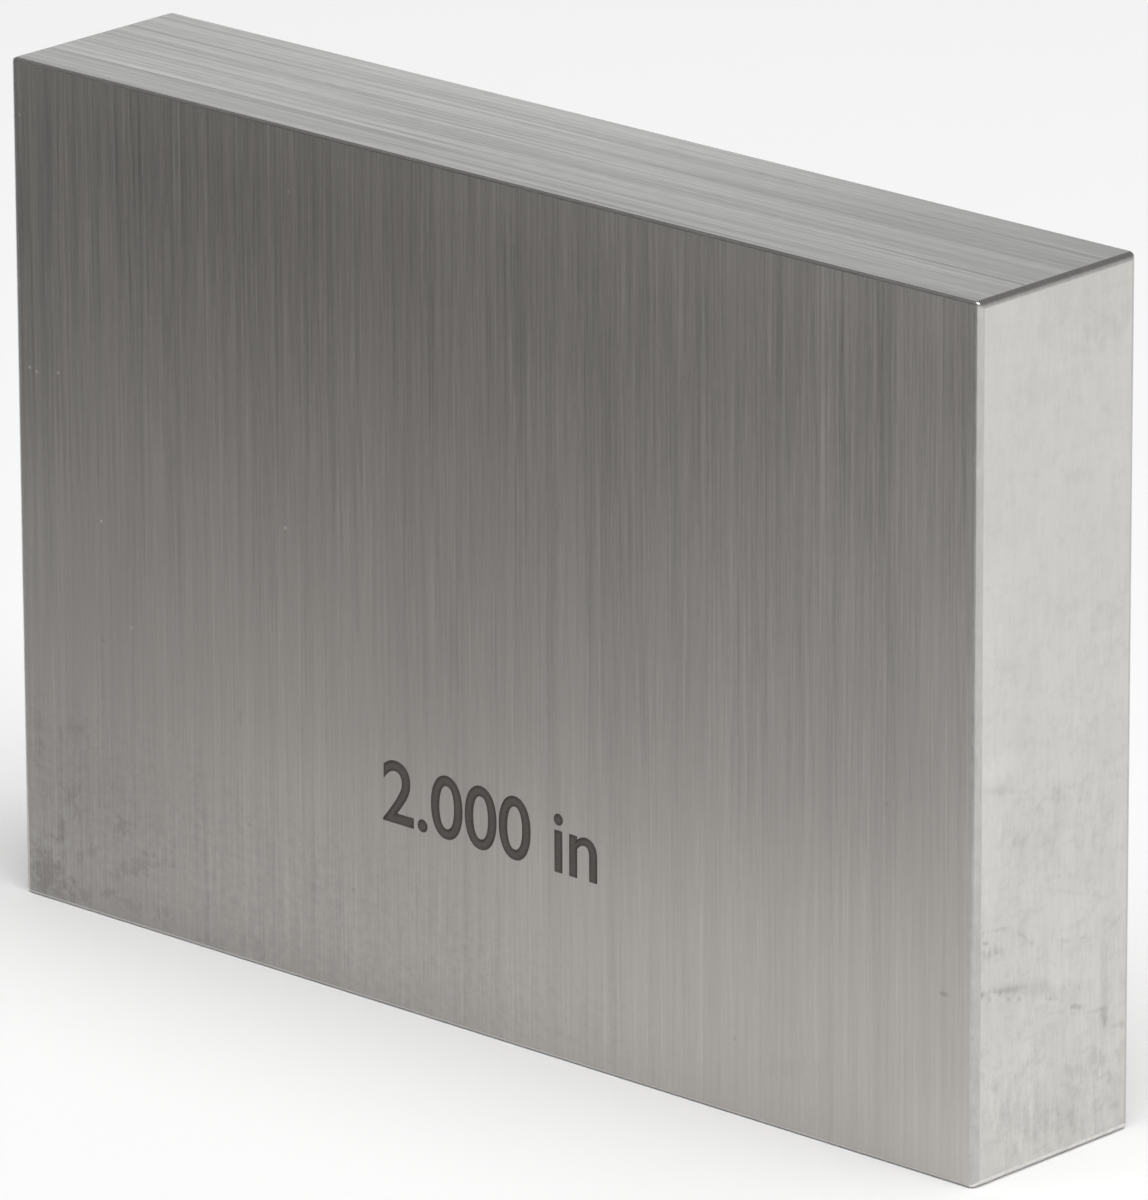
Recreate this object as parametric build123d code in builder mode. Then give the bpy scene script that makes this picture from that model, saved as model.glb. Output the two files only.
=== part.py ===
"""Rectangular gauge block: a hardened steel bar with a lapped measuring face at each end.

The block stands on one of its long narrow side faces. +X runs along the measured length, -Y looks out of
the marked front face and +Z is up. The origin is the middle of the face that the block stands on.
"""

import os

from build123d import *

# Driving dimensions, in millimetres
NOMINAL_LENGTH = 50.8  # distance between the measuring faces
SECTION_WIDTH = 35.0  # long side of the section, which stands upright
SECTION_DEPTH = 9.0  # short side of the section, from front to back
MEASURING_EDGE_CHAMFER = 0.2  # bevel around each measuring face
SIDE_EDGE_CHAMFER = 0.1  # bevel along each long edge, between two side faces

STANDING = (Align.CENTER, Align.CENTER, Align.MIN)

with BuildPart() as gauge_block:
    # Bar of the nominal length, standing on its narrow side, with bevels around both measuring faces
    Box(NOMINAL_LENGTH, SECTION_DEPTH, SECTION_WIDTH, align=STANDING)
    measuring_faces = gauge_block.faces().filter_by(Axis.X)
    chamfer(measuring_faces.edges(), length=MEASURING_EDGE_CHAMFER)

    # The section with its corners broken, kept over the whole length for the bevels of the long edges
    with BuildSketch(Plane.YZ) as section:
        Rectangle(SECTION_DEPTH, SECTION_WIDTH, align=(Align.CENTER, Align.MIN))
        chamfer(section.vertices(), length=SIDE_EDGE_CHAMFER)
    extrude(amount=NOMINAL_LENGTH / 2, both=True, mode=Mode.INTERSECT)

gauge_block.part.label = "gauge_block"

os.makedirs("parts", exist_ok=True)
export_step(gauge_block.part, "parts/gauge_block.step")
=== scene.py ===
"""Looks of a steel gauge block that stands on one of its long narrow side faces.

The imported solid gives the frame. The block that shows is modelled over it at the same size, with ground
side faces, lapped measuring faces and rounded bevels. It carries a size mark, etched on its front face.
"""

import logging
import math
from dataclasses import dataclass, replace
from enum import Enum
from typing import Callable, ClassVar

import bmesh
import bpy
from mathutils import Matrix, Vector


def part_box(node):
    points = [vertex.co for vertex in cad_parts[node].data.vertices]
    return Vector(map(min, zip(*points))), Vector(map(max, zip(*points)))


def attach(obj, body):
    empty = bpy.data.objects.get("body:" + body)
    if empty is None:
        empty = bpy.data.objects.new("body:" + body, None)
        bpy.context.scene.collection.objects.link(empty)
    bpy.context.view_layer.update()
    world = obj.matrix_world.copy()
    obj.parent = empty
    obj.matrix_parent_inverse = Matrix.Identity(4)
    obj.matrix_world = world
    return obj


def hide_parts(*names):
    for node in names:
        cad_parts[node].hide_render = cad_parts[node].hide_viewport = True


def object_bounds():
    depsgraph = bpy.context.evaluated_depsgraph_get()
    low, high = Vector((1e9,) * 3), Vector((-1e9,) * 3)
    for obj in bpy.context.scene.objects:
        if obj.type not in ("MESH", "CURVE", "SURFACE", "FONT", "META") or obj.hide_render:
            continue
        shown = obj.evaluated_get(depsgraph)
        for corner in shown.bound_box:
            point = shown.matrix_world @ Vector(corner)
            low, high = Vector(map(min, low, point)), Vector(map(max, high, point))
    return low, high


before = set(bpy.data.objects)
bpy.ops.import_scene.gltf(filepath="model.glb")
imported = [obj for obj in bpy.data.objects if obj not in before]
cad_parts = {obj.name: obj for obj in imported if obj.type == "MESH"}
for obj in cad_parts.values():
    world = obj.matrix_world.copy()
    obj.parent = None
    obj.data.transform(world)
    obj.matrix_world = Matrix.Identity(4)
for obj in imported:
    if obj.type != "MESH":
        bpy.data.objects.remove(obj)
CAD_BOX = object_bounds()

LOG = logging.getLogger("gauge_block")

MM = 0.001  # one millimetre in the scene's metres
PER_MM = 1000.0  # turns metres into millimetres for the patterns
NODE = "gauge_block"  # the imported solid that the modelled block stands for
BODY = "root"
QUARTER_TURN = math.radians(90)

Socket = bpy.types.NodeSocket
Node = bpy.types.Node
Value = float | tuple[float, ...] | Socket


@dataclass(frozen=True)
class Graph:
    """A shader node tree that is filled by short calls.

    Attributes:
        tree: a material's, a world's or a group's node tree.
    """

    tree: bpy.types.NodeTree

    def add(self, kind: str, **settings: object) -> Node:
        """Adds one node.

        Args:
            kind: the node's type name.
            settings: the node's own properties.

        Returns:
            The new node.
        """
        node = self.tree.nodes.new(kind)
        for name, value in settings.items():
            setattr(node, name, value)
        return node

    def feed(self, socket: Socket, value: Value) -> None:
        """Links a socket to another one, or sets its value.

        Args:
            socket: the input to feed.
            value: an output socket, or a plain value.
        """
        if isinstance(value, Socket):
            self.tree.links.new(value, socket)
        else:
            socket.default_value = value

    def math(self, operation: str, *values: Value, clamp: bool = False) -> Socket:
        """Adds a Math node.

        Args:
            operation: the node's operation.
            values: its inputs, in order.
            clamp: keeps the result between 0 and 1.

        Returns:
            The result's socket.
        """
        node = self.add("ShaderNodeMath", operation=operation, use_clamp=clamp)
        for socket, value in zip(node.inputs, values):
            self.feed(socket, value)
        return node.outputs["Value"]

    def vector(self, operation: str, *values: Value) -> Socket:
        """Adds a Vector Math node.

        Args:
            operation: the node's operation.
            values: its inputs, in order.

        Returns:
            The vector result's socket, or the value of a length.
        """
        node = self.add("ShaderNodeVectorMath", operation=operation)
        for socket, value in zip(node.inputs, values):
            self.feed(socket, value)
        return node.outputs["Value" if operation == "LENGTH" else "Vector"]

    def scale(self, vector: Value, factor: Value) -> Socket:
        """Multiplies a vector or a colour by one value.

        Args:
            vector: the vector, or red, green and blue.
            factor: the value.

        Returns:
            The scaled vector's socket.
        """
        node = self.add("ShaderNodeVectorMath", operation="SCALE")
        self.feed(node.inputs["Vector"], vector)
        self.feed(node.inputs["Scale"], factor)
        return node.outputs["Vector"]

    def split(self, vector: Value) -> dict[str, Socket]:
        """Splits a vector into its X, Y and Z.

        Args:
            vector: the vector.

        Returns:
            The three values' sockets by their letters.
        """
        node = self.add("ShaderNodeSeparateXYZ")
        self.feed(node.inputs["Vector"], vector)
        return {letter: node.outputs[letter] for letter in "XYZ"}

    def coordinates(self, kind: str = "Object") -> Socket:
        """Gives where the shaded point lies, in coordinates of that kind."""
        return self.add("ShaderNodeTexCoord").outputs[kind]

    def combine(self, x: Value, y: Value, z: Value) -> Socket:
        """Joins three values into a vector.

        Args:
            x: the first value.
            y: the second value.
            z: the third value.

        Returns:
            The vector's socket.
        """
        node = self.add("ShaderNodeCombineXYZ")
        for socket, value in zip(node.inputs, (x, y, z)):
            self.feed(socket, value)
        return node.outputs["Vector"]

    def noise(self, vector: Value, detail: Value = 0.0, share: Value = 0.5) -> Socket:
        """Adds soft noise, about one wave to each unit of its vector.

        Args:
            vector: where the noise is read.
            detail: how many finer layers it has.
            share: how strong each layer is as a share of the one before.

        Returns:
            The noise, about 0 on average and mostly between -1 and 1.
        """
        node = self.add("ShaderNodeTexNoise", noise_dimensions="3D", normalize=False)
        self.feed(node.inputs["Vector"], vector)
        self.feed(node.inputs["Scale"], 1.0)
        self.feed(node.inputs["Detail"], detail)
        self.feed(node.inputs["Roughness"], share)
        return node.outputs["Fac"]

    def step(
        self, value: Value, start: Value, end: Value, top: Value = 1.0, bottom: Value = 0.0
    ) -> Socket:
        """Adds a smooth step from its bottom at start to its top at end.

        Args:
            value: what is tested.
            start: where the step begins.
            end: where the step ends.
            top: how high it rises.
            bottom: where it rises from.

        Returns:
            The step's socket.
        """
        node = self.add("ShaderNodeMapRange", interpolation_type="SMOOTHSTEP", clamp=True)
        self.feed(node.inputs["Value"], value)
        self.feed(node.inputs["From Min"], start)
        self.feed(node.inputs["From Max"], end)
        self.feed(node.inputs["To Min"], bottom)
        self.feed(node.inputs["To Max"], top)
        return node.outputs["Result"]

    def turn(self, vector: Value, degrees: float) -> Socket:
        """Turns a vector about Z.

        Args:
            vector: what is turned.
            degrees: how far, to the left.

        Returns:
            The turned vector's socket.
        """
        node = self.add("ShaderNodeVectorRotate", rotation_type="Z_AXIS")
        self.feed(node.inputs["Vector"], vector)
        self.feed(node.inputs["Angle"], math.radians(degrees))
        return node.outputs["Vector"]


@dataclass(frozen=True)
class Effect:
    """A shader node group that is built once and placed in each material that uses it.

    Attributes:
        name: the group's name.
        inputs: each input's name and default value, a number or a vector.
        outputs: the names of the outputs, all plain values.
    """

    name: str
    inputs: tuple[tuple[str, Value], ...]
    outputs: tuple[str, ...]

    def fill(self, graph: Graph, given: dict[str, Socket]) -> tuple[Socket, ...]:
        """Builds the group's own nodes from its inputs by name, and gives its outputs in order."""
        raise NotImplementedError

    def tree(self) -> bpy.types.NodeTree:
        """Gives the group's tree, and builds it the first time.

        Returns:
            The node group.
        """
        found = bpy.data.node_groups.get(self.name)
        if found:
            return found
        made = bpy.data.node_groups.new(self.name, "ShaderNodeTree")
        for name, default in self.inputs:
            kind = "NodeSocketVector" if isinstance(default, tuple) else "NodeSocketFloat"
            socket = made.interface.new_socket(name, in_out="INPUT", socket_type=kind)
            socket.default_value = default
        for name in self.outputs:
            made.interface.new_socket(name, in_out="OUTPUT", socket_type="NodeSocketFloat")
        graph = Graph(made)
        given = graph.add("NodeGroupInput").outputs
        result = graph.add("NodeGroupOutput").inputs
        sockets = self.fill(graph, {name: given[name] for name, _ in self.inputs})
        for name, socket in zip(self.outputs, sockets):
            graph.feed(result[name], socket)
        return made

    def place(self, graph: Graph, **values: Value) -> dict[str, Socket]:
        """Places the group in a material.

        Args:
            graph: the material's tree.
            values: the inputs' values by name.

        Returns:
            The outputs by name.
        """
        node = graph.add("ShaderNodeGroup")
        node.node_tree = self.tree()
        for name, value in values.items():
            graph.feed(node.inputs[name], value)
        return {name: node.outputs[name] for name in self.outputs}


@dataclass(frozen=True)
class LineLayer:
    """One layer of noise that is drawn out along the grinding lines.

    Attributes:
        wider: how many times as wide it is as the finest lines.
        longer: how many times as long.
        offset: keeps it apart from the other layers.
        detail: how many finer layers it has.
        share: how strong each of those is as a share of the one before.
    """

    wider: float
    longer: float
    offset: float
    detail: float = 0.0
    share: float = 0.5

    def draw(self, graph: Graph, given: dict[str, Socket]) -> Socket:
        """Adds the layer to the group of the grinding lines.

        Args:
            graph: the group's tree.
            given: the group's inputs by name.

        Returns:
            The layer, about 0 on average.
        """
        width = graph.math("MULTIPLY", given["Width"], self.wider)
        length = graph.math("MULTIPLY", given["Length"], self.longer)
        across = graph.math("DIVIDE", given["Across"], width)
        along = graph.math("DIVIDE", given["Along"], length)
        seed = graph.math("ADD", given["Seed"], self.offset)
        return graph.noise(graph.combine(across, along, seed), self.detail, self.share)


@dataclass(frozen=True)
class GrindingLines(Effect):
    """Fine lines that a grinding wheel or a lap leaves, long and short, with a few deeper ones."""

    name: str = "grinding lines"
    inputs: tuple[tuple[str, Value], ...] = (
        ("Across", 0.0),
        ("Along", 0.0),
        ("Width", 0.1),
        ("Length", 6.0),
        ("Seed", 0.0),
    )
    outputs: tuple[str, ...] = ("Lines", "Bands", "Cuts")

    LONG: ClassVar[LineLayer] = LineLayer(wider=4.0, longer=6.0, offset=0.0, detail=3.0, share=1.0)
    SHORT: ClassVar[LineLayer] = LineLayer(wider=0.7, longer=0.12, offset=5.0, detail=1.0)
    GATHERED: ClassVar[LineLayer] = LineLayer(wider=9.0, longer=4.0, offset=17.0)
    BROAD: ClassVar[LineLayer] = LineLayer(wider=13.0, longer=4.0, offset=23.0)
    DEEP: ClassVar[LineLayer] = LineLayer(wider=0.9, longer=2.5, offset=37.0, detail=1.0)
    SHORT_SHARE: ClassVar[float] = 0.5  # how strong the short lines are beside the long ones
    GATHER_STEP: ClassVar[tuple[float, float]] = (-0.4, 0.4)  # the noise between and in the gatherings
    GATHER_RANGE: ClassVar[tuple[float, float]] = (0.85, 1.15)  # how strong the lines are there
    CUT_STEP: ClassVar[tuple[float, float]] = (0.38, 0.6)  # the noise that begins and fills a deeper cut

    def fill(self, graph: Graph, given: dict[str, Socket]) -> tuple[Socket, ...]:
        """Lays noise that is drawn out along the lines, strong where they gather and weak between.

        Args:
            graph: the group's tree.
            given: the group's inputs by name.

        Returns:
            The lines and the broad bands, both about 0, and the deeper cuts from 0 to 1.
        """
        long_lines = self.LONG.draw(graph, given)
        short_lines = self.SHORT.draw(graph, given)
        lines = graph.math("MULTIPLY_ADD", short_lines, self.SHORT_SHARE, long_lines)
        weak, strong = self.GATHER_RANGE
        gathering = self.GATHERED.draw(graph, given)
        strength = graph.step(gathering, *self.GATHER_STEP, top=strong, bottom=weak)
        lines = graph.math("MULTIPLY", lines, strength)
        cuts = graph.step(self.DEEP.draw(graph, given), *self.CUT_STEP)
        return lines, self.BROAD.draw(graph, given), cuts


@dataclass(frozen=True)
class Patch(Effect):
    """One soft-edged patch with a ragged rim, for fingermarks, stains, specks and painted light and
    shade.
    """

    name: str = "patch"
    inputs: tuple[tuple[str, Value], ...] = (
        ("Place", (0.0, 0.0, 0.0)),
        ("Scale", (1.0, 1.0, 1.0)),
        ("Offset", (0.0, 0.0, 0.0)),
        ("Ragged", 0.0),
        ("Grain", 0.0),
        ("Tone", 0.0),
    )
    outputs: tuple[str, ...] = ("Change",)

    RIM: ClassVar[float] = 1.0  # where a patch ends, in half sizes from its centre
    CORE: ClassVar[float] = 0.1  # where it has its full tone

    def fill(self, graph: Graph, given: dict[str, Socket]) -> tuple[Socket, ...]:
        """Measures the way from the patch's centre, in half sizes, and breaks it up with the grain.

        Args:
            graph: the group's tree.
            given: the group's inputs by name.

        Returns:
            The change of tone, 0 outside the patch.
        """
        away = graph.vector("MULTIPLY_ADD", given["Place"], given["Scale"], given["Offset"])
        far = graph.vector("LENGTH", away)
        broken = graph.math("MULTIPLY_ADD", given["Grain"], given["Ragged"], far)
        return (graph.step(broken, self.RIM, self.CORE, top=given["Tone"]),)


@dataclass(frozen=True)
class Haze(Effect):
    """A thin film of handling that lies in soft clouds."""

    name: str = "haze"
    inputs: tuple[tuple[str, Value], ...] = (
        ("Place", (0.0, 0.0, 0.0)),
        ("Size", (1.0, 1.0, 1.0)),
        ("Seed", 0.0),
    )
    outputs: tuple[str, ...] = ("Film",)

    DETAIL: ClassVar[float] = 3.0  # how many finer layers the clouds have
    SHARE: ClassVar[float] = 0.7  # how strong each of those is as a share of the one before
    CLOUD_STEP: ClassVar[tuple[float, float]] = (-0.1, 0.8)  # the noise on clear steel and in a cloud

    def fill(self, graph: Graph, given: dict[str, Socket]) -> tuple[Socket, ...]:
        """Gathers soft noise into clouds with clear steel between them.

        Args:
            graph: the group's tree.
            given: the group's inputs by name.

        Returns:
            The film, from 0 on clear steel to 1 in a cloud.
        """
        place = graph.vector("DIVIDE", given["Place"], given["Size"])
        aside = graph.combine(0.0, 0.0, given["Seed"])
        cloud = graph.noise(graph.vector("ADD", place, aside), self.DETAIL, self.SHARE)
        return (graph.step(cloud, *self.CLOUD_STEP),)


@dataclass(frozen=True)
class Grain(Effect):
    """Fine soft spots, spread evenly."""

    name: str = "grain"
    inputs: tuple[tuple[str, Value], ...] = (
        ("Place", (0.0, 0.0, 0.0)),
        ("Fineness", 1.0),
        ("Detail", 0.0),
        ("Share", 0.5),
    )
    outputs: tuple[str, ...] = ("Grain",)

    def fill(self, graph: Graph, given: dict[str, Socket]) -> tuple[Socket, ...]:
        """Gives soft noise with that many spots to each unit of the place."""
        spots = graph.scale(given["Place"], given["Fineness"])
        return (graph.noise(spots, given["Detail"], given["Share"]),)


LINES = GrindingLines()
PATCH = Patch()
HAZE = Haze()
GRAIN = Grain()


@dataclass(frozen=True)
class FacePoint:
    """The sockets that say where a shaded point lies, in millimetres.

    Attributes:
        across: its place across the lines of its face.
        along: its place along them.
        out: its place along the axis that points out of the face.
        on_face: its place along the face's own two axes, as a vector.
    """

    across: Socket
    along: Socket
    out: Socket
    on_face: Socket


class Run(Enum):
    """How a face was worked.

    Each value names the axis across the lines, the axis along them and the face's own two axes.
    """

    UPRIGHT = ("X", "Z", "X", "Z")
    LENGTHWISE = ("Y", "X", "X", "Y")
    END_UPRIGHT = ("Y", "Z", "Y", "Z")

    def reach(self) -> tuple[float, float]:
        """Gives where the lines begin and end on the block, in millimetres."""
        axis = "XYZ".index(self.value[1])
        return tuple(corner[axis] * PER_MM for corner in CAD_BOX)

    def locate(self, graph: Graph) -> FacePoint:
        """Adds the shaded point's place on such a face to a material.

        Args:
            graph: the material's tree.

        Returns:
            The point.
        """
        axes = graph.split(graph.scale(graph.coordinates(), PER_MM))
        across, along, first, second = (axes[letter] for letter in self.value)
        out = next(axes[letter] for letter in "XYZ" if letter not in self.value)
        return FacePoint(across, along, out, graph.combine(first, second, 0.0))


@dataclass(frozen=True)
class Mark:
    """A mark on a face: one of its stains, fingermarks or specks, or a patch of painted light or shade.

    Attributes:
        centre: its middle on the face, in millimetres along the face's own two axes.
        half_size: how far it reaches along each axis, in millimetres.
        tone: how much it lightens the steel, negative where it darkens it.
        turn_deg: how far it is turned on the face.
        ragged: how much the face's grain breaks it up.
    """

    centre: tuple[float, float]
    half_size: tuple[float, float]
    tone: float
    turn_deg: float = 0.0
    ragged: float = 0.0

    def shade(self, graph: Graph, place: Socket, grain: Socket) -> Socket:
        """Adds the mark's change of tone to a material.

        Args:
            graph: the material's tree.
            place: the place on the face, in millimetres along the mark's own two axes.
            grain: the face's grain.

        Returns:
            The change of tone, 0 outside the mark.
        """
        middle = Matrix.Rotation(math.radians(-self.turn_deg), 2) @ Vector(self.centre)
        scale = [1.0 / half for half in self.half_size]
        offset = [-at * factor for at, factor in zip(middle, scale)]
        return PATCH.place(
            graph,
            Place=place,
            Scale=(*scale, 1.0),
            Offset=(*offset, 0.0),
            Ragged=self.ragged,
            Grain=grain,
            Tone=self.tone,
        )["Change"]


def specks(tone: float, half: float, *places: tuple[float, float]) -> tuple[Mark, ...]:
    """Makes small round marks of one tone and one half width, in millimetres, at each of the places."""
    return tuple(Mark(place, (half, half), tone) for place in places)


@dataclass(frozen=True)
class Working:
    """The lines that a wheel or a lap leaves on a face.

    Attributes:
        run: which way the lines run.
        width: the width of the finest lines, in millimetres.
        length: their length, in millimetres.
        line_tone: how much the lines change the steel's tone.
        band_tone: how much the broad bands do.
        cut_tone: how much the few deeper lines do.
        at_start: their strength at the foot or the left, as a share of that at the other end.
        seed: picks another set of lines.
    """

    run: Run
    width: float
    length: float
    line_tone: float
    band_tone: float
    cut_tone: float
    at_start: float
    seed: float = 0.0

    def draw(self, graph: Graph, point: FacePoint) -> dict[str, Socket]:
        """Adds the lines to a material.

        Args:
            graph: the material's tree.
            point: where the shaded point lies.

        Returns:
            The grinding lines' layers by name.
        """
        return LINES.place(
            graph,
            Across=point.across,
            Along=point.along,
            Width=self.width,
            Length=self.length,
            Seed=graph.math("ADD", point.out, self.seed),
        )

    def shade(self, graph: Graph, layers: dict[str, Socket]) -> Socket:
        """Weighs the layers against each other.

        Args:
            graph: the material's tree.
            layers: the grinding lines' layers by name.

        Returns:
            The change of tone at full strength.
        """
        change = graph.math("MULTIPLY", layers["Lines"], self.line_tone)
        for layer, tone in (("Bands", self.band_tone), ("Cuts", self.cut_tone)):
            if tone:
                change = graph.math("MULTIPLY_ADD", layers[layer], tone, change)
        return change

    def strength(self, graph: Graph, point: FacePoint) -> Socket:
        """Gives how strong the lines are at a point, 1 where they end."""
        return graph.step(point.along, *self.run.reach(), bottom=self.at_start)


@dataclass(frozen=True)
class Film:
    """A thin film of handling on a face.

    Attributes:
        size: how large its clouds are, in millimetres along the face's two axes.
        tone: how much it lightens the steel, negative where it darkens it.
        blur: how much rougher it makes the steel.
    """

    size: tuple[float, float]
    tone: float
    blur: float

    def lay(self, graph: Graph, point: FacePoint) -> Socket:
        """Adds the film's clouds to a material, from 0 on clear steel to 1 in a cloud."""
        return HAZE.place(graph, Place=point.on_face, Size=(*self.size, 1.0), Seed=point.out)["Film"]


@dataclass(frozen=True)
class SteelFinish:
    """Bare hardened steel with the lines of its working, the traces of its use and, on some faces,
    patches of painted light and shade.

    Attributes:
        name: the material's name.
        colour: the steel's colour.
        roughness: how far the steel blurs what it mirrors.
        anisotropy: how much more it blurs across the lines than along them.
        working: the lines on it.
        film: the film of handling on it, if it has one.
        marks: stains, specks and patches of painted light and shade on the face.
        grain_per_mm: how fine the grain is that breaks up the marks.
    """

    name: str
    colour: tuple[float, float, float]
    roughness: float
    anisotropy: float
    working: Working
    film: Film | None = None
    marks: tuple[Mark, ...] = ()
    grain_per_mm: float = 1.1

    GRAIN_DETAIL: ClassVar[float] = 3.0  # how many finer layers the grain has
    GRAIN_SHARE: ClassVar[float] = 0.7  # how strong each of those is as a share of the one before
    LINES_IN_GRAIN: ClassVar[float] = 0.3  # how much the lines add to the grain

    def material(self) -> bpy.types.Material:
        """Builds the finish's material.

        Returns:
            The new material.
        """
        made = bpy.data.materials.new(self.name)
        made.use_nodes = True
        graph = Graph(made.node_tree)
        point = self.working.run.locate(graph)
        layers = self.working.draw(graph, point)
        change = self.working.shade(graph, layers)
        rough = self.roughness
        if self.film:
            cloud = self.film.lay(graph, point)
            change = graph.math("MULTIPLY_ADD", cloud, self.film.tone, change)
            rough = graph.math("MULTIPLY_ADD", cloud, self.film.blur, self.roughness)
        tone = graph.math("MULTIPLY_ADD", change, self.working.strength(graph, point), 1.0)
        if self.marks:
            tone = self.lay_marks(graph, point, layers["Lines"], tone)
        steel = made.node_tree.nodes["Principled BSDF"]
        graph.feed(steel.inputs["Base Color"], graph.scale(self.colour, tone))
        graph.feed(steel.inputs["Roughness"], rough)
        graph.feed(steel.inputs["Metallic"], 1.0)
        graph.feed(steel.inputs["Anisotropic"], self.anisotropy)
        return made

    def lay_marks(self, graph: Graph, point: FacePoint, lines: Socket, tone: Socket) -> Socket:
        """Adds the marks to a material.

        Args:
            graph: the material's tree.
            point: where the shaded point lies.
            lines: the grinding lines, which streak the grain.
            tone: the tone without the marks.

        Returns:
            The tone with the marks.
        """
        spots = GRAIN.place(
            graph,
            Place=point.on_face,
            Fineness=self.grain_per_mm,
            Detail=self.GRAIN_DETAIL,
            Share=self.GRAIN_SHARE,
        )["Grain"]
        grain = graph.math("MULTIPLY_ADD", lines, self.LINES_IN_GRAIN, spots)
        turns = sorted({mark.turn_deg for mark in self.marks})
        turned = {degrees: graph.turn(point.on_face, -degrees) for degrees in turns}
        for mark in self.marks:
            tone = graph.math("ADD", tone, mark.shade(graph, turned[mark.turn_deg], grain))
        return tone


@dataclass(frozen=True)
class EtchedFinish:
    """Dark oxide that a marking laser leaves on steel.

    Attributes:
        name: the material's name.
        colour: the oxide's colour.
        roughness: how dull it is.
    """

    name: str
    colour: tuple[float, float, float]
    roughness: float = 0.6

    GRAIN_PER_MM: ClassVar[float] = 8.0  # how fine the oxide's grain is
    GRAIN_DETAIL: ClassVar[float] = 2.0  # how many finer layers it has
    GRAIN_SHARE: ClassVar[float] = 0.5  # how strong each of those is as a share of the one before
    GRAIN_TONE: ClassVar[float] = 0.25  # how much it changes the oxide's tone

    def material(self) -> bpy.types.Material:
        """Builds the finish's material.

        Returns:
            The new material.
        """
        made = bpy.data.materials.new(self.name)
        made.use_nodes = True
        graph = Graph(made.node_tree)
        spots = GRAIN.place(
            graph,
            Place=graph.coordinates(),
            Fineness=self.GRAIN_PER_MM * PER_MM,
            Detail=self.GRAIN_DETAIL,
            Share=self.GRAIN_SHARE,
        )["Grain"]
        tone = graph.math("MULTIPLY_ADD", spots, self.GRAIN_TONE, 1.0)
        oxide = made.node_tree.nodes["Principled BSDF"]
        graph.feed(oxide.inputs["Base Color"], graph.scale(self.colour, tone))
        graph.feed(oxide.inputs["Roughness"], self.roughness)
        return made


ETCHED_RIM = EtchedFinish(name="etched_rim", colour=(0.053, 0.044, 0.037))
ETCHED_CORE = EtchedFinish(name="etched_core", colour=(0.075, 0.064, 0.055))
BACK_FACE = SteelFinish(
    name="ground_broad_face",
    colour=(0.479, 0.46, 0.44),
    roughness=0.48,
    anisotropy=0.4,
    working=Working(
        run=Run.UPRIGHT,
        width=0.09,
        length=4.0,
        line_tone=0.14,
        band_tone=0.0,
        cut_tone=0.13,
        at_start=0.3,
    ),
)
# The front face: its marks, and broad patches of painted light and shade
FRONT_FACE = replace(
    BACK_FACE,
    name="ground_marked_face_and_painted_light",
    marks=(
        # Dust that catches the light
        *specks(0.6, 0.11, (-24.6, 22.3), (-24.2, 22.2), (-23.0, 22.4), (-20.7, 16.7), (-10.5, 18.6)),
        *specks(0.4, 0.1, (-24.9, 32.7), (-10.1, 32.4), (-19.1, 12.6)),
        # Small dark pits and nicks
        *specks(-0.14, 0.15, (-7.0, 4.4), (20.9, 14.4), (-12.7, 5.8), (13.2, 3.1), (-20.7, 11.7)),
        Mark((23.8, 7.5), (0.35, 0.14), -0.25),
        Mark((-13.1, 10.2), (0.15, 0.55), -0.15),
        # A broad darkening along the foot, deepest at the lower left corner: painted shade of the shaded
        # floor that the foot mirrors
        Mark((-26.0, -1.0), (40.0, 11.0), -0.22, ragged=0.2),
        # Finger smudges over it, at the lower left and along the foot
        Mark((-24.1, 1.0), (1.5, 1.7), -0.17, ragged=0.45),
        Mark((-23.4, 3.1), (0.4, 0.9), -0.11, turn_deg=-20, ragged=0.4),
        Mark((-22.2, 0.6), (0.9, 0.5), -0.1, ragged=0.7),
        Mark((-20.7, 1.0), (0.8, 0.28), -0.1, turn_deg=25, ragged=0.5),
        Mark((-19.4, 0.8), (0.9, 0.5), -0.07, ragged=0.7),
        Mark((-17.4, 0.7), (0.7, 0.6), -0.07, ragged=0.7),
        Mark((-14.7, 0.3), (1.6, 0.3), -0.08, ragged=0.5),
        Mark((-12.6, 0.7), (1.0, 0.5), -0.05, ragged=0.6),
        # Rubbed streaks above it, and a faint smear at the right
        Mark((-21.9, 2.4), (1.1, 0.3), -0.06, turn_deg=35, ragged=0.6),
        Mark((-18.7, 2.7), (1.9, 0.5), -0.08, turn_deg=25, ragged=0.7),
        Mark((-19.8, 4.1), (0.7, 0.4), -0.08, turn_deg=25, ragged=0.7),
        Mark((-22.7, 4.9), (0.6, 0.4), -0.08, turn_deg=25, ragged=0.7),
        Mark((-22.3, 4.1), (0.4, 0.5), -0.06, ragged=0.7),
        Mark((-22.5, 7.5), (1.6, 0.5), -0.06, turn_deg=20, ragged=0.7),
        Mark((-24.6, 7.0), (0.4, 2.2), -0.06, ragged=0.4),
        Mark((16.2, 2.7), (3.0, 0.7), -0.03, turn_deg=10, ragged=0.6),
        # Painted reflection: broad lighter zones beside the film, along the head and at the lower right
        # corner
        Mark((-13.5, 13.0), (11.0, 14.0), 0.09),
        Mark((-6.5, 20.5), (17.0, 15.0), 0.06),
        Mark((4.0, 36.0), (36.0, 8.0), 0.09),
        Mark((0.0, 35.4), (70.0, 3.5), 0.08),
        Mark((25.4, 0.0), (7.0, 6.0), 0.09),
        # Painted shade: broad darker zones at the left edge, over the foot and towards the right
        Mark((-25.4, 25.0), (6.0, 11.0), -0.13),
        Mark((-8.0, 5.0), (30.0, 3.5), -0.03),
        Mark((18.5, 15.5), (10.0, 8.0), -0.05),
    ),
    grain_per_mm=2.4,
)
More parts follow.
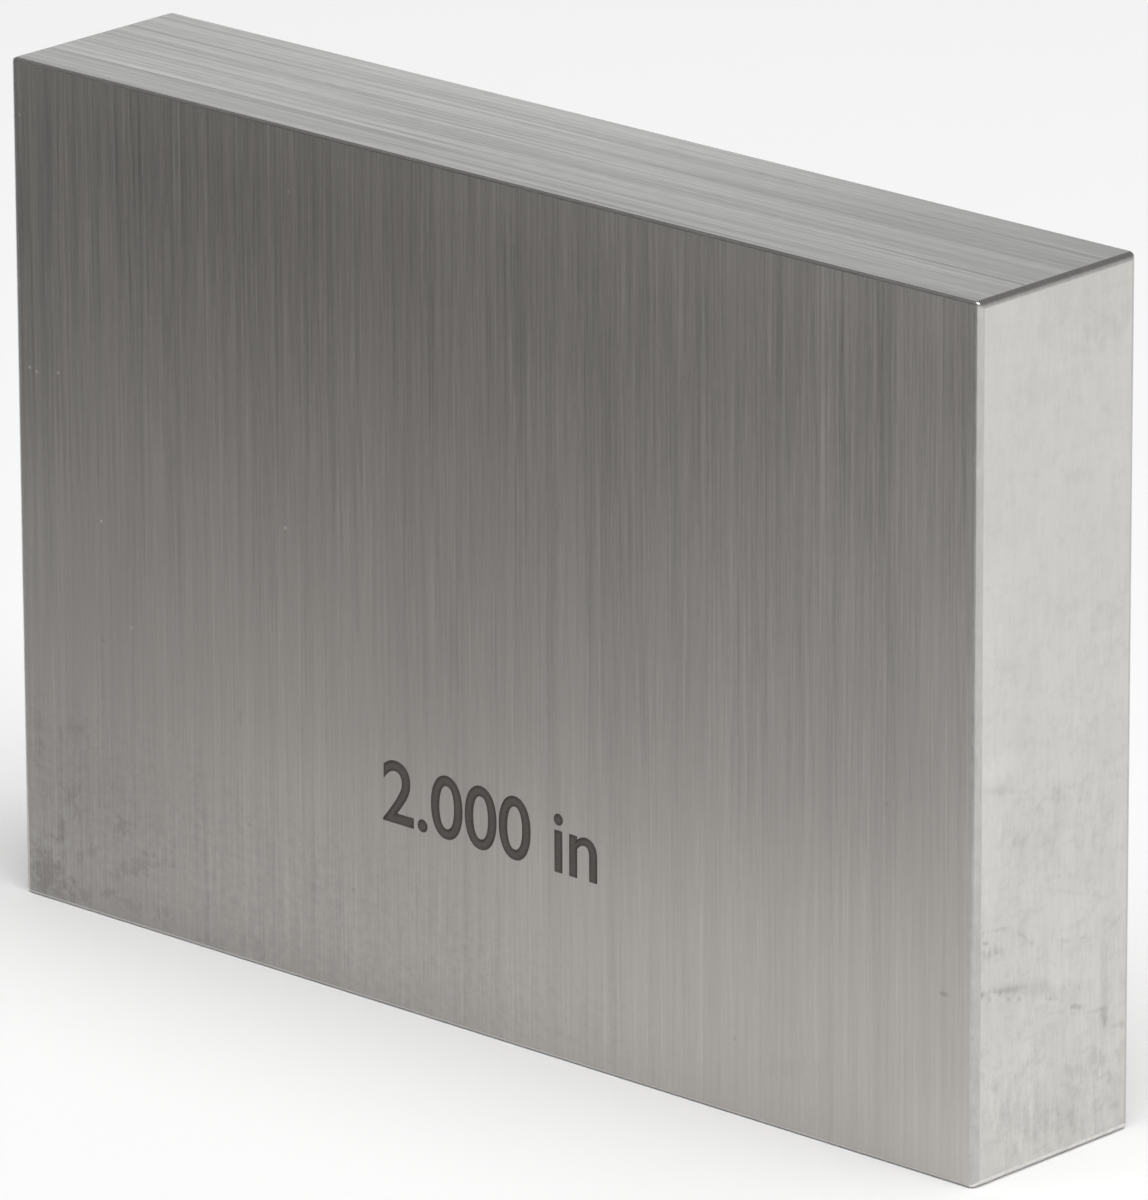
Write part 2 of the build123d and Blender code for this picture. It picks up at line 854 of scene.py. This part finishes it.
NARROW_FACE = SteelFinish(
    name="ground_narrow_face",
    colour=(0.557, 0.554, 0.546),
    roughness=0.3,
    anisotropy=0.0,
    working=Working(
        run=Run.LENGTHWISE,
        width=0.09,
        length=8.0,
        line_tone=0.19,
        band_tone=0.15,
        cut_tone=-0.2,
        at_start=1.0,
        seed=1.7,
    ),
    marks=(
        # Broad stripes along the face, lighter along the back towards the left, darker along the middle
        # and towards the right
        Mark((-8.0, 3.5), (34.0, 1.6), 0.14, ragged=0.2),
        Mark((-4.0, -1.0), (34.0, 1.5), -0.1, ragged=0.2),
        Mark((12.0, 1.2), (14.0, 1.2), -0.07, ragged=0.2),
        # Painted shade: a dark stripe along the front edge, beside its rounding
        Mark((0.0, -4.35), (60.0, 0.5), -0.14, ragged=0.1),
    ),
)
LEFT_END = SteelFinish(
    name="lapped_end_face",
    colour=(0.605, 0.596, 0.57),
    roughness=0.16,
    anisotropy=0.2,
    working=Working(
        run=Run.END_UPRIGHT,
        width=0.12,
        length=0.5,
        line_tone=0.016,
        band_tone=0.02,
        cut_tone=-0.02,
        at_start=2.4,
    ),
    film=Film(size=(0.7, 0.5), tone=-0.03, blur=0.05),
)
# The right end: its handling marks, and broad painted light and shade
RIGHT_END = replace(
    LEFT_END,
    name="lapped_handled_face_and_painted_light",
    marks=(
        # A wavy tide mark across the face, darkest along its rim
        *specks(-0.15, 0.16, (-4.2, 7.7), (-3.7, 7.45), (-3.1, 7.5), (-2.6, 7.15), (-2.0, 7.0)),
        Mark((-3.2, 7.65), (1.9, 0.16), -0.14, turn_deg=-10, ragged=0.5),
        Mark((-4.1, 7.75), (0.8, 0.35), -0.16, turn_deg=-10, ragged=0.4),
        Mark((-1.5, 7.3), (3.4, 0.5), -0.1, turn_deg=-15, ragged=0.25),
        Mark((0.6, 6.5), (1.6, 0.6), -0.06, turn_deg=-20, ragged=0.4),
        Mark((-0.1, 6.5), (0.9, 0.12), -0.12, turn_deg=-15, ragged=0.3),
        Mark((1.4, 5.8), (0.5, 0.13), -0.22, turn_deg=-15, ragged=0.4),
        Mark((2.4, 5.35), (0.8, 0.12), -0.1, turn_deg=-5, ragged=0.3),
        # Broken dark lines above it
        Mark((-3.1, 10.1), (1.1, 0.14), -0.13, turn_deg=-5, ragged=0.5),
        Mark((-1.5, 9.2), (1.1, 0.14), -0.13, turn_deg=-40, ragged=0.5),
        Mark((-3.95, 9.75), (0.3, 0.13), -0.24, turn_deg=-15),
        Mark((-3.3, 9.2), (1.0, 0.25), -0.14, turn_deg=-5, ragged=0.8),
        Mark((0.5, 8.7), (0.7, 0.13), -0.1, turn_deg=-20, ragged=0.4),
        Mark((1.7, 8.5), (0.3, 0.12), -0.15),
        Mark((3.7, 8.7), (0.9, 0.25), -0.09, turn_deg=20, ragged=0.7),
        # One long thin scratch
        Mark((1.0, 10.5), (3.6, 0.1), -0.07, turn_deg=-20, ragged=0.2),
        # A runny smear near the back edge
        Mark((2.95, 6.6), (0.4, 3.4), -0.1, ragged=0.2),
        Mark((3.02, 5.1), (0.25, 1.7), -0.13, ragged=0.25),
        Mark((3.8, 4.4), (0.7, 0.22), -0.12, turn_deg=-10, ragged=0.8),
        Mark((3.0, 3.0), (0.6, 1.5), -0.07, ragged=0.8),
        # Smudges along the foot
        Mark((-0.3, 1.8), (5.0, 2.6), -0.04, ragged=0.9),
        Mark((-2.2, 2.3), (2.4, 1.2), -0.08, turn_deg=-20, ragged=0.4),
        Mark((-1.7, 1.3), (1.8, 0.45), -0.05, turn_deg=-20, ragged=0.8),
        Mark((-0.3, 1.6), (0.8, 0.8), -0.05, ragged=0.8),
        Mark((2.4, 1.8), (1.3, 1.8), -0.03, turn_deg=-30, ragged=1.2),
        # Faint bands and clouds higher up, among broad painted light and shade
        Mark((-3.1, 15.6), (2.0, 0.25), -0.09, turn_deg=-15, ragged=0.3),
        Mark((0.0, 14.5), (1.4, 0.7), -0.06, turn_deg=-10, ragged=0.8),
        Mark((0.8, 13.4), (3.6, 1.3), -0.04, ragged=0.9),
        Mark((-3.6, 16.6), (2.0, 1.0), 0.06),
        # Painted reflection: a broad lighter zone along the front edge
        Mark((-4.5, 19.0), (3.0, 13.0), 0.05),
        Mark((-2.8, 20.4), (1.3, 0.3), -0.05, turn_deg=-10, ragged=0.3),
        Mark((2.9, 21.0), (1.6, 0.9), -0.06, turn_deg=-15, ragged=0.7),
        Mark((0.9, 18.2), (0.35, 2.2), -0.05, ragged=0.5),
        Mark((1.1, 27.0), (1.0, 0.5), -0.06, ragged=0.4),
        Mark((-1.2, 31.0), (2.6, 1.1), -0.04, turn_deg=-10, ragged=0.5),
        Mark((3.0, 32.4), (1.6, 0.9), -0.05, turn_deg=10, ragged=0.5),
        # Painted shade: darker along the head
        Mark((2.0, 35.5), (6.0, 6.0), -0.06, ragged=0.3),
    ),
)
BEVEL = SteelFinish(
    name="bevelled_edge",
    colour=(0.5, 0.49, 0.474),
    roughness=0.26,
    anisotropy=0.0,
    working=Working(
        run=Run.LENGTHWISE,
        width=0.05,
        length=3.0,
        line_tone=0.06,
        band_tone=0.05,
        cut_tone=0.0,
        at_start=1.0,
    ),
)
# Painted light: a paler, duller finish on the bevels along the ends' feet, over the shaded floor that
# they mirror
FOOT_BEVEL_PAINTED_LIGHT = replace(BEVEL, name="foot_bevel_painted_light", colour=(0.75, 0.74, 0.72), roughness=0.5)


class Hand:
    """The modelling steps that more than one piece uses."""

    @staticmethod
    def start_clean() -> None:
        """Leaves edit mode and selects nothing."""
        if bpy.context.mode != "OBJECT":
            bpy.ops.object.mode_set(mode="OBJECT")
        bpy.ops.object.select_all(action="DESELECT")

    @staticmethod
    def settle(piece: bpy.types.Object) -> None:
        """Puts a piece's place, turn and size into its mesh.

        Args:
            piece: the piece, whose object then sits at the origin.
        """
        Hand.start_clean()
        piece.select_set(True)
        bpy.context.view_layer.objects.active = piece
        bpy.ops.object.transform_apply(location=True, rotation=True, scale=True)

    @staticmethod
    def pick_faces(piece: bpy.types.Object, wanted: Callable[[Vector], bool]) -> None:
        """Selects faces in edit mode.

        Args:
            piece: the piece in edit mode.
            wanted: says from a face's normal whether to select it.
        """
        bpy.ops.mesh.select_all(action="DESELECT")
        bpy.ops.mesh.select_mode(type="FACE")
        mesh = bmesh.from_edit_mesh(piece.data)
        for face in mesh.faces:
            face.select_set(wanted(face.normal))
        bmesh.update_edit_mesh(piece.data)


@dataclass
class GaugeBlock:
    """The block itself, a bar with two lapped ends.

    Attributes:
        low: its lowest corner, in metres.
        high: its highest corner.
        measuring_round: the rounded bevel around each measuring face.
        side_round: the rounded bevel along each long edge.
        round_steps: the steps in each rounding.
    """

    low: Vector
    high: Vector
    measuring_round: float = 0.29 * MM
    side_round: float = 0.13 * MM
    round_steps: int = 6

    SQUARE: ClassVar[float] = 0.999  # how nearly a normal lies along an axis on a flat face
    TIPPED: ClassVar[float] = 0.1  # how far a normal leans on a bevel

    def build(self) -> bpy.types.Object:
        """Models the block and dresses it.

        Returns:
            The finished piece.
        """
        block = self.add_bar()
        self.round_edges(block)
        self.smooth(block)
        self.dress(block)
        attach(block, BODY)
        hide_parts(NODE)
        return block

    def add_bar(self) -> bpy.types.Object:
        """Adds the plain bar.

        Returns:
            The bar, with its size and place in its mesh.
        """
        Hand.start_clean()
        bpy.ops.mesh.primitive_cube_add(size=1.0, location=(self.low + self.high) / 2)
        bar = bpy.context.object
        bar.name = "steel_gauge_block"
        bar.scale = self.high - self.low
        Hand.settle(bar)
        return bar

    def round_edges(self, block: bpy.types.Object) -> None:
        """Bevels all edges to a round, widest around the measuring faces.

        Args:
            block: the plain bar.
        """
        share = block.data.attributes.new("bevel_weight_edge", "FLOAT", "EDGE")
        for edge in block.data.edges:
            a, b = (block.data.vertices[index].co for index in edge.vertices)
            along_the_bar = abs(a.x - b.x) > self.measuring_round
            width = self.side_round if along_the_bar else self.measuring_round
            share.data[edge.index].value = width / self.measuring_round
        bevel = block.modifiers.new("rounded bevels", "BEVEL")
        bevel.width = self.measuring_round
        bevel.segments = self.round_steps
        bevel.limit_method = "WEIGHT"
        bpy.ops.object.modifier_apply(modifier=bevel.name)

    @staticmethod
    def smooth(block: bpy.types.Object) -> None:
        """Shades the bevels smooth and keeps the faces flat.

        Args:
            block: the finished shape.
        """
        bpy.ops.object.shade_smooth()
        flat_faces = block.modifiers.new("flat faces", "WEIGHTED_NORMAL")
        bpy.ops.object.modifier_apply(modifier=flat_faces.name)

    def dress(self, block: bpy.types.Object) -> None:
        """Gives each face the finish of its working, and the bevels along the ends' feet a paler one that
        paints light over the shade they mirror.

        Args:
            block: the finished shape.
        """
        picks: tuple[tuple[SteelFinish, Callable[[Vector], bool]], ...] = (
            (BEVEL, lambda normal: True),
            (FOOT_BEVEL_PAINTED_LIGHT, lambda normal: normal.z < -self.TIPPED and abs(normal.x) > self.TIPPED),
            (FRONT_FACE, lambda normal: normal.y < -self.SQUARE),
            (BACK_FACE, lambda normal: normal.y > self.SQUARE),
            (NARROW_FACE, lambda normal: abs(normal.z) > self.SQUARE),
            (LEFT_END, lambda normal: normal.x < -self.SQUARE),
            (RIGHT_END, lambda normal: normal.x > self.SQUARE),
        )
        for finish, _ in picks:
            block.data.materials.append(finish.material())
        bpy.ops.object.mode_set(mode="EDIT")
        for index, (_, wanted) in enumerate(picks):
            Hand.pick_faces(block, wanted)
            block.active_material_index = index
            bpy.ops.object.material_slot_assign()
        bpy.ops.object.mode_set(mode="OBJECT")


@dataclass
class SizeMark:
    """The block's nominal length, etched near the foot of the front face.

    Attributes:
        front: the front face's place along Y, in metres.
        words: what the mark says.
        cap_height: the height of its figures.
        middle: its middle along X.
        baseline: the height of its baseline.
        swell: how much bolder its strokes are than the built-in letters', on each side.
        rim: the width of the dark rim along its strokes.
        depth: how far it stands off the steel.
    """

    front: float
    words: str = "2.000 in"
    cap_height: float = 2.5 * MM
    middle: float = 0.4 * MM
    baseline: float = 7.75 * MM
    swell: float = 0.05 * MM
    rim: float = 0.12 * MM
    depth: float = 0.015 * MM

    CAP_SHARE: ClassVar[float] = 0.69  # the built-in letters' cap height as a share of their size
    WELD_SHARE: ClassVar[float] = 0.1  # points nearer than this share of the depth become one
    FLAT: ClassVar[float] = 0.9995  # how nearly a normal looks forwards in the core of a stroke

    def build(self) -> bpy.types.Object:
        """Models the mark and dresses it.

        Returns:
            The finished piece.
        """
        mark = self.add_letters()
        self.close()
        self.dress(mark)
        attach(mark, BODY)
        return mark

    def add_letters(self) -> bpy.types.Object:
        """Adds the letters, whose own bevel is pressed flat to make the rim.

        Returns:
            The letters, with their size and place in their mesh.
        """
        Hand.start_clean()
        bpy.ops.object.text_add()
        text = bpy.context.object
        text.name = "size_mark"
        text.data.body = self.words
        text.data.align_x = "CENTER"
        text.data.size = self.cap_height / self.CAP_SHARE
        text.data.offset = self.swell - self.rim
        text.data.bevel_depth = self.rim
        text.data.bevel_resolution = 0
        bpy.ops.object.convert(target="MESH")
        mark = bpy.context.object
        mark.scale = (1.0, 1.0, self.depth / self.rim)
        mark.rotation_euler = (QUARTER_TURN, 0.0, 0.0)
        mark.location = (self.middle, self.front, self.baseline)
        Hand.settle(mark)
        return mark

    def close(self) -> None:
        """Joins the active letters' faces into closed shapes that face outwards."""
        bpy.ops.object.mode_set(mode="EDIT")
        bpy.ops.mesh.select_all(action="SELECT")
        bpy.ops.mesh.remove_doubles(threshold=self.WELD_SHARE * self.depth)
        bpy.ops.mesh.normals_make_consistent(inside=False)
        bpy.ops.object.mode_set(mode="OBJECT")

    def dress(self, mark: bpy.types.Object) -> None:
        """Gives the strokes their dark rim and paler core.

        Args:
            mark: the finished shape.
        """
        finishes = (ETCHED_RIM, ETCHED_CORE)
        for finish in finishes:
            mark.data.materials.append(finish.material())
        bpy.ops.object.mode_set(mode="EDIT")
        Hand.pick_faces(mark, lambda normal: normal.y < -self.FLAT)
        mark.active_material_index = finishes.index(ETCHED_CORE)
        bpy.ops.object.material_slot_assign()
        bpy.ops.object.mode_set(mode="OBJECT")


@dataclass(frozen=True)
class SoftLamp:
    """A square soft lamp that faces the block.

    Attributes:
        name: the lamp's name.
        place: where its middle hangs, in metres.
        side: the side of its square.
        power: its power in watts.
    """

    name: str
    place: tuple[float, float, float]
    side: float
    power: float

    def build(self) -> None:
        """Hangs the lamp."""
        lamp = bpy.data.lights.new(self.name, "AREA")
        lamp.size = self.side
        lamp.energy = self.power
        hung = bpy.data.objects.new(self.name, lamp)
        hung.location = self.place
        hung.rotation_euler = (-Vector(self.place)).to_track_quat("-Z", "Y").to_euler()
        hung.visible_camera = False
        bpy.context.scene.collection.objects.link(hung)


@dataclass(frozen=True)
class GradedCard:
    """A standing card, pale at its foot and dark above, which only the steel's reflections see.

    Attributes:
        name: the card's name.
        foot: where its foot begins on the floor, in metres.
        heading_deg: which way its foot runs from there, turned to the right from straight forwards.
        length: how far its foot runs.
        height: how high it stands.
        pale: its grey at the foot.
        dark: its grey above.
        fade: the height over which it darkens.
    """

    name: str
    foot: tuple[float, float]
    heading_deg: float
    length: float
    height: float
    pale: float
    dark: float
    fade: float

    def build(self) -> None:
        """Stands the card on the floor."""
        Hand.start_clean()
        bpy.ops.mesh.primitive_plane_add(size=1.0)
        card = bpy.context.object
        card.name = self.name
        heading = math.radians(self.heading_deg)
        ahead = Vector((math.sin(heading), -math.cos(heading), 0.0))
        card.scale = (self.length, self.height, 1.0)
        card.rotation_euler = (QUARTER_TURN, 0.0, heading - QUARTER_TURN)
        card.location = Vector((*self.foot, self.height / 2)) + ahead * self.length / 2
        Hand.settle(card)
        card.data.materials.append(self.material())
        card.visible_camera = False
        card.visible_diffuse = False
        card.visible_shadow = False

    def material(self) -> bpy.types.Material:
        """Builds the card's matt grey, which darkens with height.

        Returns:
            The new material.
        """
        made = Studio.plain(self.name, self.dark)
        graph = Graph(made.node_tree)
        risen = graph.math("DIVIDE", graph.split(graph.coordinates())["Z"], self.fade, clamp=True)
        grey = graph.math("MULTIPLY_ADD", risen, self.dark - self.pale, self.pale)
        paint = made.node_tree.nodes["Principled BSDF"]
        graph.feed(paint.inputs["Base Color"], graph.combine(grey, grey, grey))
        return made


@dataclass
class Studio:
    """The pale floor, the soft lamps and the surroundings that the steel mirrors.

    Attributes:
        floor_side: the side of the square floor, in metres.
        floor_grey: its grey.
        horizon: how bright the surroundings are at the horizon.
        zenith: how bright they are overhead.
        darkening: how high they begin and end to darken, as shares of straight up.
        lamps: the soft lamps.
        card: the graded card that the front face mirrors.
    """

    floor_side: float = 6.0
    floor_grey: float = 0.96
    horizon: float = 0.74
    zenith: float = 0.24
    darkening: tuple[float, float] = (0.1, 0.6)
    lamps: tuple[SoftLamp, ...] = (
        SoftLamp(name="key_softbox", place=(0.2, -0.1, 0.75), side=0.7, power=5.7),
        SoftLamp(name="back_softbox", place=(-0.36, 0.26, 0.16), side=0.24, power=0.035),
    )
    card: GradedCard = GradedCard(
        name="graded_card",
        foot=(-44.0 * MM, -5.0 * MM),
        heading_deg=68.0,
        length=0.085,
        height=0.2,
        pale=1.0,
        dark=0.4,
        fade=33.0 * MM,
    )

    def build(self) -> None:
        """Sets the floor, the card, the lamps and the world."""
        self.add_floor()
        self.card.build()
        for lamp in self.lamps:
            lamp.build()
        self.add_world()

    def add_floor(self) -> None:
        """Adds the floor that the block stands on."""
        Hand.start_clean()
        bpy.ops.mesh.primitive_plane_add(size=self.floor_side)
        floor = bpy.context.object
        floor.name = "floor"
        floor.data.materials.append(self.plain("pale_floor", self.floor_grey))

    @staticmethod
    def plain(name: str, grey: float) -> bpy.types.Material:
        """Makes a matt grey without gloss.

        Args:
            name: the material's name.
            grey: its colour, from 0 to 1.

        Returns:
            The new material.
        """
        made = bpy.data.materials.new(name)
        made.use_nodes = True
        paint = made.node_tree.nodes["Principled BSDF"]
        paint.inputs["Base Color"].default_value = (grey, grey, grey, 1.0)
        paint.inputs["Roughness"].default_value = 1.0
        paint.inputs["Specular IOR Level"].default_value = 0.0
        return made

    def add_world(self) -> None:
        """Lights the surroundings, pale at the horizon and darker overhead."""
        world = bpy.data.worlds.new("studio")
        bpy.context.scene.world = world
        world.use_nodes = True
        graph = Graph(world.node_tree)
        height = graph.split(graph.coordinates("Generated"))["Z"]
        level = graph.step(height, *self.darkening, top=self.zenith, bottom=self.horizon)
        sky = world.node_tree.nodes["Background"]
        graph.feed(sky.inputs["Color"], graph.combine(level, level, level))


@dataclass
class PhotoCamera:
    """A long lens that looks down on the front and the right end.

    Attributes:
        azimuth_deg: how far the camera stands round to the right of the front.
        elevation_deg: how far it stands above the horizon.
        roll_deg: how far it is tipped.
        distance: how far it stands from the point that it looks at, in metres.
        look_at: that point.
        focal_px: the lens's length in pixels of the image's long side.
        long_side_px: the image's long side.
    """

    azimuth_deg: float = 42.823
    elevation_deg: float = 18.074
    roll_deg: float = -0.257
    distance: float = 488.9 * MM
    look_at: tuple[float, float, float] = (0.527 * MM, 0.219 * MM, 16.894 * MM)
    focal_px: float = 12561.0
    long_side_px: float = 1200.0

    SENSOR_MM: ClassVar[float] = 36.0  # the long side of a full-frame sensor
    NEAREST: ClassVar[float] = 0.01  # the clipping planes, in metres
    FARTHEST: ClassVar[float] = 20.0

    def build(self) -> None:
        """Adds the camera and makes it the scene's."""
        camera = bpy.data.cameras.new("camera")
        camera.sensor_width = self.SENSOR_MM
        camera.lens = self.focal_px / self.long_side_px * self.SENSOR_MM
        camera.clip_start = self.NEAREST
        camera.clip_end = self.FARTHEST
        stand = bpy.data.objects.new("camera", camera)
        turn = math.radians(self.azimuth_deg)
        rise = math.radians(self.elevation_deg)
        level = math.cos(rise)
        back = Vector((math.sin(turn) * level, -math.cos(turn) * level, math.sin(rise)))
        right = Vector((0.0, 0.0, 1.0)).cross(back).normalized()
        up = back.cross(right)
        upright = Matrix((right, up, back)).transposed().to_4x4()
        stand.matrix_world = (
            Matrix.Translation(Vector(self.look_at) + self.distance * back)
            @ upright
            @ Matrix.Rotation(math.radians(self.roll_deg), 4, "Z")
        )
        bpy.context.scene.collection.objects.link(stand)
        bpy.context.scene.camera = stand
        bpy.context.scene.view_settings.view_transform = "Standard"


def main() -> None:
    """Builds the camera, the block, its mark and the studio, in that order."""
    logging.basicConfig(level=logging.INFO, format="%(name)s: %(message)s")
    PhotoCamera().build()
    low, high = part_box(NODE)
    for assembly in (GaugeBlock(low, high), SizeMark(front=low.y)):
        piece = assembly.build()
        LOG.info("%s has %d faces", piece.name, len(piece.data.polygons))
    Studio().build()


if __name__ == "__main__":
    main()
